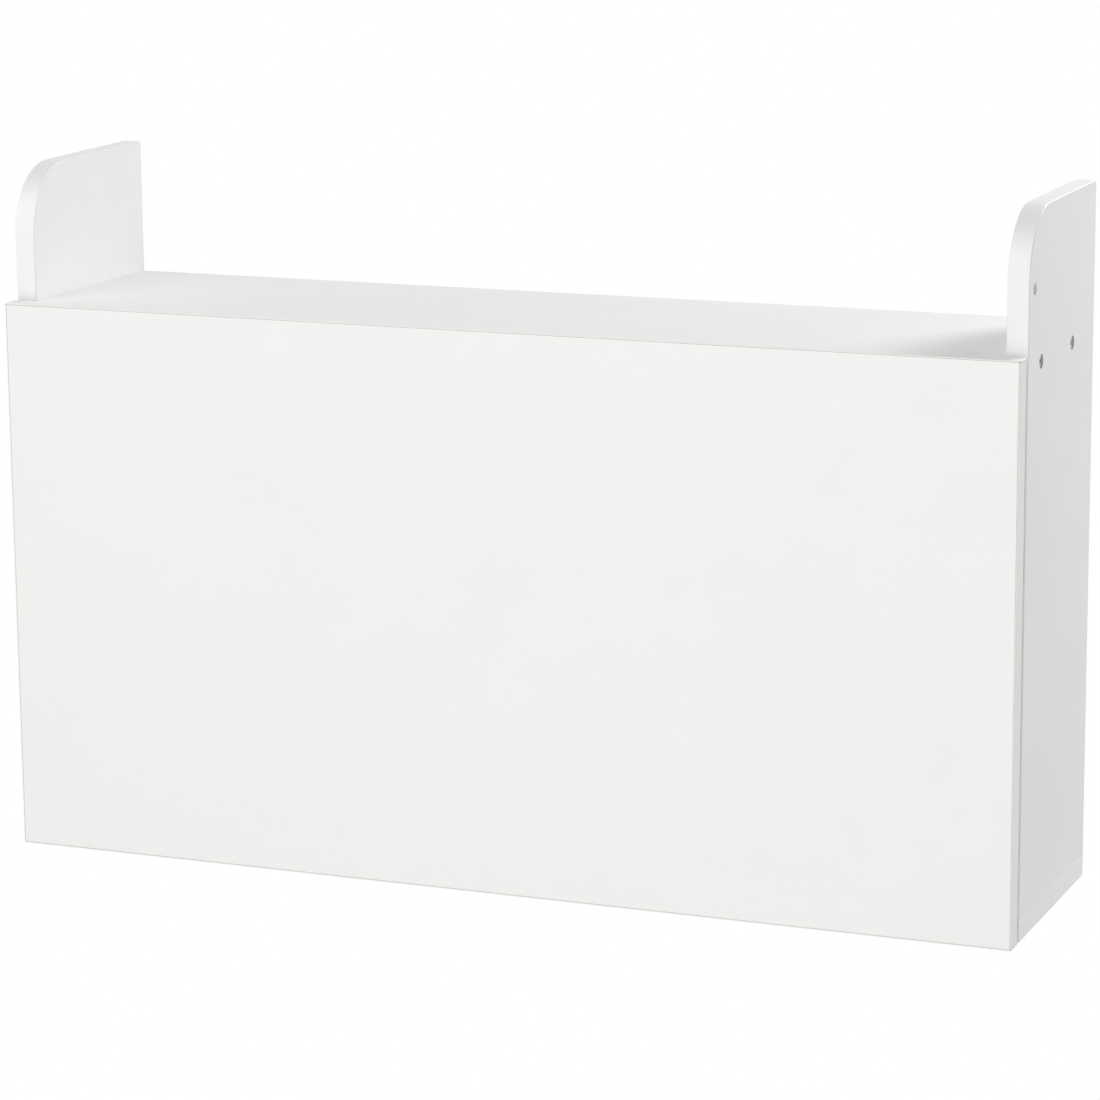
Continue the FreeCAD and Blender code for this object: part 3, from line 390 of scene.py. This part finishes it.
X, Y, Z = 0, 1, 2
BANDS = {
    "left_side_band": ("left_side", X), "right_side_band": ("right_side", X),
    "top_shelf_band": ("top_shelf", Z), "middle_shelf_band": ("middle_shelf", Z),
    "bottom_front_band": ("bottom_board", Z), "bottom_end_bands": ("bottom_board", Z),
    "divider_bands": ("left_divider", X),
    "flap_top_band": ("flap_board", Y), "flap_bottom_band": ("flap_board", Y),
    "flap_left_band": ("flap_board", Y), "flap_right_band": ("flap_board", Y),
}
for band, (board, across) in BANDS.items():
    dress(edge_band(band, board, across), band)
print(len(BANDS), "bands")

# %% [markdown]
# ## Hardboard back
#
# The back is 3 mm of hardboard, wood fibre pressed hard. Its front is lacquered white. Its
# rear is bare: brown, matt, and printed with the wire mesh that let the steam out of the
# press, about 1.2 mm from wire to wire and drawn here at 2.4 mm so that it can be seen.

# %% Lacquer in front, bare fibre behind
LACQUER, LACQUER_SHADE = linear("#F2F2F0"), linear("#EEEEEB")
FIBRE, FIBRE_DARK = linear("#A9865C"), linear("#8A6A45")
MESH_PITCH, MESH_DEPTH = 2.4 * MM, 0.08 * MM
HAIR_LENGTH, HAIR_DEPTH = 1.5 * MM, 0.1 * MM
LACQUER_CLOUD, LACQUER_RELIEF = 40 * MM, 0.01 * MM
LACQUER_ROUGHNESS, FIBRE_ROUGHNESS = 0.4, 0.85


def hardboard():
    """White lacquer near the front plane, and brown fibre with a mesh print everywhere else."""
    low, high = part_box("back_panel")
    material, tree, point = new_material("lacquered_hardboard")
    painted = near_planes(tree, point, (0, low.y, 0), (NO_PLANE, 0, NO_PLANE), FACE_DEPTH)
    cloud = add(tree, "TexNoise", {"Vector": point, "Scale": 1 / LACQUER_CLOUD, "Detail": 4.0})
    lacquer = add(tree, "Mix", {0: cloud, MIX_A: LACQUER, MIX_B: LACQUER_SHADE},
                  data_type="RGBA")
    hairs = add(tree, "TexNoise", {"Vector": point, "Scale": 1 / HAIR_LENGTH, "Detail": 4.0,
                                   "Roughness": 0.7})
    tone = add(tree, "MapRange", {0: hairs, 1: CLOUD_LOW, 2: CLOUD_HIGH})
    fibre = add(tree, "Mix", {0: tone, MIX_A: FIBRE_DARK, MIX_B: FIBRE}, data_type="RGBA")
    colour = add(tree, "Mix", {0: painted, MIX_A: fibre.outputs[MIX_COLOUR],
                               MIX_B: lacquer.outputs[MIX_COLOUR]}, data_type="RGBA")
    phase = add(tree, "VectorMath", {0: point, 1: [2 * math.pi / MESH_PITCH] * 3},
                operation="MULTIPLY")
    waves = add(tree, "VectorMath", {0: phase}, operation="SINE")
    x, y, z = add(tree, "SeparateXYZ", {0: waves}).outputs
    mesh = add(tree, "Math", {0: x, 1: z}, operation="MULTIPLY")
    print_bump = add(tree, "Bump", {"Height": mesh, "Distance": MESH_DEPTH})
    fibre_bump = add(tree, "Bump", {"Height": hairs, "Distance": HAIR_DEPTH,
                                    "Normal": print_bump})
    paint_bump = add(tree, "Bump", {"Height": hairs, "Distance": LACQUER_RELIEF})
    normal = add(tree, "Mix", {0: painted, VECTOR_A: fibre_bump, VECTOR_B: paint_bump},
                 data_type="VECTOR")
    roughness = add(tree, "Mix", {0: painted, NUMBER_A: FIBRE_ROUGHNESS,
                                  NUMBER_B: LACQUER_ROUGHNESS})
    shader = add(tree, "BsdfPrincipled", {
        "Base Color": colour.outputs[MIX_COLOUR], "Roughness": roughness,
        "Normal": normal.outputs[MIX_VECTOR], "IOR": RESIN_IOR})
    return finished(material, tree, shader)


dress(hardboard(), "back_panel")
print("back panel: mesh print every", MESH_PITCH / MM, "mm")

# %% [markdown]
# ## Metals
#
# Three metals hold the desk together, and all of them are plated or cast, so they share one
# recipe: a metallic shader whose colour drifts between two tones in small clouds, a roughness
# that follows the marks left by how the part was made, and corners worn a little brighter.
# The Bevel node gives the direction that a corner would have if it were rounded. Where that
# differs from the true direction there is an edge, and the plating there is rubbed.
#
# - Nickel plate is warm and nearly mirror bright; tumbling leaves tiny random scratches.
#   Screws are tumbled longest, in a drum full of each other, and come out satin.
# - Zinc plate on steel is bluer and duller, with cloudy patches from the plating bath.
# - Die-cast zinc keeps the grain of its mould, so it is matt and grey.

# %% Rubbed corners
EDGE_RADIUS, EDGE_SAMPLES = 0.25 * MM, 4
WEAR_STARTS, WEAR_FULL = 0.98, 0.8  # the cosine between the rounded and the true direction
METAL_WEAR, PLASTIC_WEAR = 0.7, 0.5  # how far a corner turns to its worn tone


def rubbed_corners(tree, body, tone, wear):
    """A body's colour with a worn tone along its edges, and the direction that rounds them."""
    rounded = add(tree, "Bevel", {"Radius": EDGE_RADIUS}, samples=EDGE_SAMPLES)
    true_normal = add(tree, "NewGeometry", {}).outputs["Normal"]
    alike = add(tree, "VectorMath", {0: rounded, 1: true_normal},
                operation="DOT_PRODUCT").outputs["Value"]
    worn = add(tree, "MapRange", {0: alike, 1: WEAR_STARTS, 2: WEAR_FULL, 3: 0.0, 4: wear})
    colour = add(tree, "Mix", {0: worn, MIX_A: body.outputs[MIX_COLOUR], MIX_B: linear(tone)},
                 data_type="RGBA")
    return colour.outputs[MIX_COLOUR], rounded


# %% Plated and cast metal
def metal(name, tones, roughness, grain, depth, cloud):
    """Metal with clouds of two tones, grain of a given size and depth, and rubbed corners."""
    material, tree, point = new_material(name)
    clouds = add(tree, "TexNoise", {"Vector": point, "Scale": 1 / cloud, "Detail": 4.0})
    patches = add(tree, "MapRange", {0: clouds, 1: CLOUD_LOW, 2: CLOUD_HIGH})
    body = add(tree, "Mix", {0: patches, MIX_A: linear(tones[0]), MIX_B: linear(tones[1])},
               data_type="RGBA")
    colour, rounded = rubbed_corners(tree, body, tones[2], METAL_WEAR)
    marks = add(tree, "TexNoise", {"Vector": point, "Scale": 1 / grain, "Detail": 3.0,
                                   "Distortion": 0.5})
    gloss = add(tree, "MapRange", {0: marks, 1: NOISE_LOW, 2: NOISE_HIGH, 3: roughness[0],
                                   4: roughness[1]})
    bump = add(tree, "Bump", {"Height": marks, "Distance": depth, "Normal": rounded})
    shader = add(tree, "BsdfPrincipled", {
        "Base Color": colour, "Metallic": 1.0, "Roughness": gloss, "Normal": bump})
    return finished(material, tree, shader)


# Nickel plate over polished steel: bright, with a warm tint.
nickel = metal("nickel_plated_steel", ("#D2CEC6", "#C8C4BB", "#E6E2DA"),
               roughness=(0.15, 0.26), grain=0.5 * MM, depth=0.003 * MM, cloud=8 * MM)
dress(nickel, "hinge_cups", "hinge_arms", "hinge_plates")
satin_nickel = metal("satin_nickel_plated_steel", ("#CDCCC9", "#C1C0BC", "#E2E1DE"),
                     roughness=(0.28, 0.42), grain=0.5 * MM, depth=0.005 * MM, cloud=8 * MM)
dress(satin_nickel, "top_shelf_screws", "bottom_board_screws", "divider_screws")

# Zinc plate, passivated: cooler and softer than nickel, cloudy from the bath.
zinc = metal("zinc_plated_steel", ("#C4C9CD", "#B3B9BE", "#DADDDF"),
             roughness=(0.28, 0.42), grain=0.6 * MM, depth=0.005 * MM, cloud=4 * MM)
dress(zinc, "cam_bolts", "hinge_pins", "hinge_cup_screws", "hinge_plate_screws",
      "hinge_arm_screws", "left_stay_bar", "right_stay_bar", "left_stay_bracket",
      "right_stay_bracket", "stay_bracket_screws", "stay_rivets", "stay_studs", "catch_screws",
      "strike_plates", "strike_screws")

# Zinc alloy straight from the mould: grey and grainy.
die_cast = metal("die_cast_zinc", ("#A5A6A6", "#8F9192", "#C4C5C5"),
                 roughness=(0.42, 0.60), grain=0.35 * MM, depth=0.03 * MM, cloud=2.5 * MM)
dress(die_cast, "cam_locks")
print("metals:", nickel.name, satin_nickel.name, zinc.name, die_cast.name)

# %% [markdown]
# ## Beech dowels
#
# Beech is a pale pinkish-brown wood without strong rings, but with short dark flecks, its
# rays, 1 to 3 mm long. The dowels lie along the desk's width, so the grain runs along X.

# %% Beech with rays along the dowel
BEECH, BEECH_DARK, RAY = linear("#D9B88F"), linear("#C29D72"), linear("#8C6846")
STREAK_LENGTH, STREAK_WIDTH, STREAK_DEPTH = 12 * MM, 0.8 * MM, 0.05 * MM
RAY_LENGTH, RAY_WIDTH = 2.5 * MM, 0.5 * MM
RAY_STARTS, RAY_FULL, RAY_SHADE = 0.28, 0.12, 0.7  # from a fleck's middle; how dark it gets
BEECH_ROUGHNESS, BEECH_IOR = (0.55, 0.7), 1.5


def beech():
    """Beech: fine streaks along X from stretched noise, and short dark rays from a Voronoi."""
    material, tree, point = new_material("turned_beech")
    along = (1 / STREAK_LENGTH, 1 / STREAK_WIDTH, 1 / STREAK_WIDTH)
    streaks_at = add(tree, "VectorMath", {0: point, 1: along}, operation="MULTIPLY")
    streaks = add(tree, "TexNoise", {"Vector": streaks_at, "Scale": 1.0, "Detail": 4.0})
    wood = add(tree, "Mix", {0: streaks, MIX_A: BEECH, MIX_B: BEECH_DARK}, data_type="RGBA")
    short = (1 / RAY_LENGTH, 1 / RAY_WIDTH, 1 / RAY_WIDTH)
    rays_at = add(tree, "VectorMath", {0: point, 1: short}, operation="MULTIPLY")
    rays = add(tree, "TexVoronoi", {"Vector": rays_at, "Scale": 1.0})
    flecks = add(tree, "MapRange", {0: rays.outputs["Distance"], 1: RAY_STARTS, 2: RAY_FULL,
                                    3: 0.0, 4: RAY_SHADE})
    colour = add(tree, "Mix", {0: flecks, MIX_A: wood.outputs[MIX_COLOUR], MIX_B: RAY},
                 data_type="RGBA")
    bump = add(tree, "Bump", {"Height": streaks, "Distance": STREAK_DEPTH})
    gloss = add(tree, "MapRange", {0: streaks, 1: NOISE_LOW, 2: NOISE_HIGH,
                                   3: BEECH_ROUGHNESS[0], 4: BEECH_ROUGHNESS[1]})
    shader = add(tree, "BsdfPrincipled", {
        "Base Color": colour.outputs[MIX_COLOUR], "Roughness": gloss, "Normal": bump,
        "IOR": BEECH_IOR})
    return finished(material, tree, shader)


dress(beech(), "wood_dowels")
print("dowels of beech, grain along X")

# %% [markdown]
# ## Moulded plastics, rubber and magnets
#
# The catch housings are white plastic from a spark-eroded mould, which leaves a fine even
# grain. Nylon washers are milky: light goes a little way in, so they get some subsurface.
# The bumpers are clear polyurethane, poured as domes, smooth and half see-through. The
# magnets are ferrite, a black ceramic that is ground after firing.

# %% Moulded plastic and ceramic
MOULDED_CLOUD = 6 * MM


def moulded(name, tones, roughness, grain, depth, **shader_values):
    """A non-metal with a grain of one size, slow clouds of two tones and rubbed corners."""
    material, tree, point = new_material(name)
    clouds = add(tree, "TexNoise", {"Vector": point, "Scale": 1 / MOULDED_CLOUD, "Detail": 3.0})
    body = add(tree, "Mix", {0: clouds, MIX_A: linear(tones[0]), MIX_B: linear(tones[1])},
               data_type="RGBA")
    colour, rounded = rubbed_corners(tree, body, tones[2], PLASTIC_WEAR)
    marks = add(tree, "TexNoise", {"Vector": point, "Scale": 1 / grain, "Detail": 2.0})
    gloss = add(tree, "MapRange", {0: marks, 1: NOISE_LOW, 2: NOISE_HIGH, 3: roughness[0],
                                   4: roughness[1]})
    bump = add(tree, "Bump", {"Height": marks, "Distance": depth, "Normal": rounded})
    values = {"Base Color": colour, "Roughness": gloss, "Normal": bump}
    shader = add(tree, "BsdfPrincipled", {**values, **shader_values})
    return finished(material, tree, shader)


# Polystyrene or ABS from a spark-eroded mould: white, satin, fine grained.
white_plastic = moulded("moulded_white_plastic", ("#EAEAE7", "#E3E3DF", "#F0F0ED"),
                        roughness=(0.38, 0.50), grain=0.4 * MM, depth=0.02 * MM, IOR=ABS_IOR)
dress(white_plastic, "catch_housings")

# Nylon: milky, waxy and a little translucent.
nylon = moulded("milky_nylon", ("#F0EEE4", "#E6E3D6", "#F7F5EE"),
                roughness=(0.32, 0.42), grain=0.5 * MM, depth=0.01 * MM, IOR=1.53,
                **{"Subsurface Weight": 0.3, "Subsurface Scale": 0.6 * MM})
dress(nylon, "stay_washers")

# Ferrite: a black fired ceramic with a ground, slightly pitted face.
ferrite = moulded("ground_ferrite", ("#2C2B2B", "#232222", "#4A4847"),
                  roughness=(0.5, 0.75), grain=0.3 * MM, depth=0.03 * MM, IOR=1.8)
dress(ferrite, "catch_magnets")

# Clear polyurethane: a poured dome, smooth and half see-through, so an alpha lets the white
# band behind it show and keeps light from being trapped under it.
polyurethane = moulded("clear_polyurethane", ("#E6E7E4", "#DDDED9", "#F4F4F1"),
                       roughness=(0.10, 0.20), grain=2.0 * MM, depth=0.01 * MM, IOR=1.5,
                       Alpha=0.5)
dress(polyurethane, "bumpers")

undressed = [name for name, node in nodes.items()
             if not all(m and m.use_nodes and len(m.node_tree.nodes) > 4
                        for m in node.data.materials)]
print("CAD nodes still without a finish:", undressed)

# %% [markdown]
# ## Floor and light
#
# The desk hangs on a wall, with its underside about three quarters of a metre above a pale
# floor. The light is that of a small studio: an even white room, soft lamps in front, one high
# on the left, one low and one to the right, and two smaller ones behind on the right that rake
# over the shelf and draw the ear's shadow on it. They are set so that a white board that faces
# them renders at about the brightness that its colour says. The camera, and any gloss or clear
# piece, sees the room as plain white, and the floor fades into it.

# %% Room
FLOOR_BELOW, FLOOR_SIZE = 0.96, 12.0
ROOM_LIGHT = 0.25
KEEP_SHADOW = 0.45  # of the floor's own shading that the camera still sees below the desk
FADE_FROM, FADE_TO = 0.6, 1.5  # metres from the desk, over which the floor turns plain white
FLOOR_PAINT, FLOOR_SHADE, FLOOR_GRAIN = linear("#F6F6F5"), linear("#F1F1F0"), 8 * MM
WHITE = 1, 1, 1, 1


def seen_ray(tree):
    """1 for rays that look at the room: the camera's, and those through gloss or clear pieces."""
    path = add(tree, "LightPath", {})
    seen = add(tree, "Math", {0: path.outputs["Is Camera Ray"],
                              1: path.outputs["Is Glossy Ray"]}, operation="MAXIMUM")
    return add(tree, "Math", {0: seen, 1: path.outputs["Is Transmission Ray"]},
               operation="MAXIMUM")


def pale_floor():
    """A square of matt pale floor that keeps a soft shadow."""
    corner = FLOOR_SIZE / 2
    mesh = bpy.data.meshes.new("pale_floor")
    corners = np.array([(-1, -1), (1, -1), (1, 1), (-1, 1)]) * corner
    mesh.from_pydata([(x, y, -FLOOR_BELOW) for x, y in corners], [], [(0, 1, 2, 3)])
    floor = bpy.data.objects.new("pale_floor", mesh)
    bpy.context.scene.collection.objects.link(floor)
    material, tree, point = new_material("matt_pale_floor")
    grain = add(tree, "TexNoise", {"Vector": point, "Scale": 1 / FLOOR_GRAIN, "Detail": 3.0})
    colour = add(tree, "Mix", {0: grain, MIX_A: FLOOR_PAINT, MIX_B: FLOOR_SHADE},
                 data_type="RGBA")
    matt = add(tree, "BsdfDiffuse", {"Color": colour.outputs[MIX_COLOUR]})
    white = add(tree, "Emission", {"Color": WHITE, "Strength": 1.0})
    flat = add(tree, "VectorMath", {0: point, 1: (1, 1, 0)}, operation="MULTIPLY")
    away = add(tree, "VectorMath", {0: flat}, operation="LENGTH").outputs["Value"]
    fade = add(tree, "MapRange", {0: away, 1: FADE_FROM, 2: FADE_TO, 3: 1 - KEEP_SHADOW, 4: 1.0},
               interpolation_type="SMOOTHSTEP")
    share = add(tree, "Math", {0: seen_ray(tree), 1: fade}, operation="MULTIPLY")
    finished(material, tree, add(tree, "MixShader", {0: share, 1: matt, 2: white}))
    mesh.materials.append(material)


def white_room():
    """The world: dim white light for the object, plain white for what looks at it."""
    world = bpy.data.worlds.new("white_room")
    world.use_nodes = True
    bpy.context.scene.world = world
    tree = world.node_tree
    tree.nodes.clear()
    dim = add(tree, "Background", {"Color": WHITE, "Strength": ROOM_LIGHT})
    plain = add(tree, "Background", {"Color": WHITE, "Strength": 1.0})
    shown = add(tree, "MixShader", {0: seen_ray(tree), 1: dim, 2: plain})
    add(tree, "OutputWorld", {"Surface": shown})


pale_floor()
white_room()
print("floor", FLOOR_BELOW, "m below the wall screws' centre")

# %% Lamps
# name: where it stands, what it points at, the side of its square, and its power in watts
LAMPS = {
    "high_left": ((-1.2, -2.6, 2.2), (0, -0.1, 0.0), 2.4, 56),
    "low_front": ((-0.2, -2.8, -0.3), (0, -0.1, 0.0), 2.0, 17),
    "front_right": ((2.2, -2.6, 0.3), (0, -0.1, 0.0), 1.2, 13),
    "rear_high": ((1.2, 1.6, 1.4), (0, -0.1, 0.2), 0.8, 34),
    "rear_right": ((1.4, 2.2, 1.0), (0, -0.1, 0.2), 0.8, 8),
}
for name, (place, target, size, power) in LAMPS.items():
    light = bpy.data.lights.new(name + "_softbox", "AREA")
    light.size, light.energy = size, power
    lamp = bpy.data.objects.new(name + "_softbox", light)
    lamp.location = place
    lamp.rotation_euler = (Vector(target) - Vector(place)).to_track_quat("-Z", "Y").to_euler()
    bpy.context.scene.collection.objects.link(lamp)
print(len(LAMPS), "lamps")

# %% [markdown]
# ## Camera
#
# The desk is seen from its right and a little from above, from about three metres away with a
# long lens, so that its edges stay almost parallel.

# %% Camera
AZIMUTH, ELEVATION, ROLL = np.radians([21.936, 12.351, -0.4809])
DISTANCE = 3.1311443
LOOKED_AT = Vector((0.0069084, -0.1, 0.0309757))
LENS, SENSOR = 134.97, 36.0  # mm

back = Vector((math.sin(AZIMUTH) * math.cos(ELEVATION), -math.cos(AZIMUTH) * math.cos(ELEVATION),
               math.sin(ELEVATION)))
level = Vector((0, 0, 1)).cross(back).normalized()
upright = back.cross(level)
right = level * math.cos(ROLL) + upright * math.sin(ROLL)
up = upright * math.cos(ROLL) - level * math.sin(ROLL)
camera = bpy.data.objects.new("camera", bpy.data.cameras.new("camera"))
camera.data.lens, camera.data.sensor_width = LENS, SENSOR
place = LOOKED_AT + back * DISTANCE
camera.matrix_world = Matrix((right, up, back)).transposed().to_4x4()
camera.location = place
bpy.context.scene.collection.objects.link(camera)
bpy.context.scene.camera = camera
bpy.context.scene.view_settings.view_transform = "Standard"
print("camera at", [round(v, 3) for v in place])

# %% The last update of the scene
bpy.context.view_layer.update()
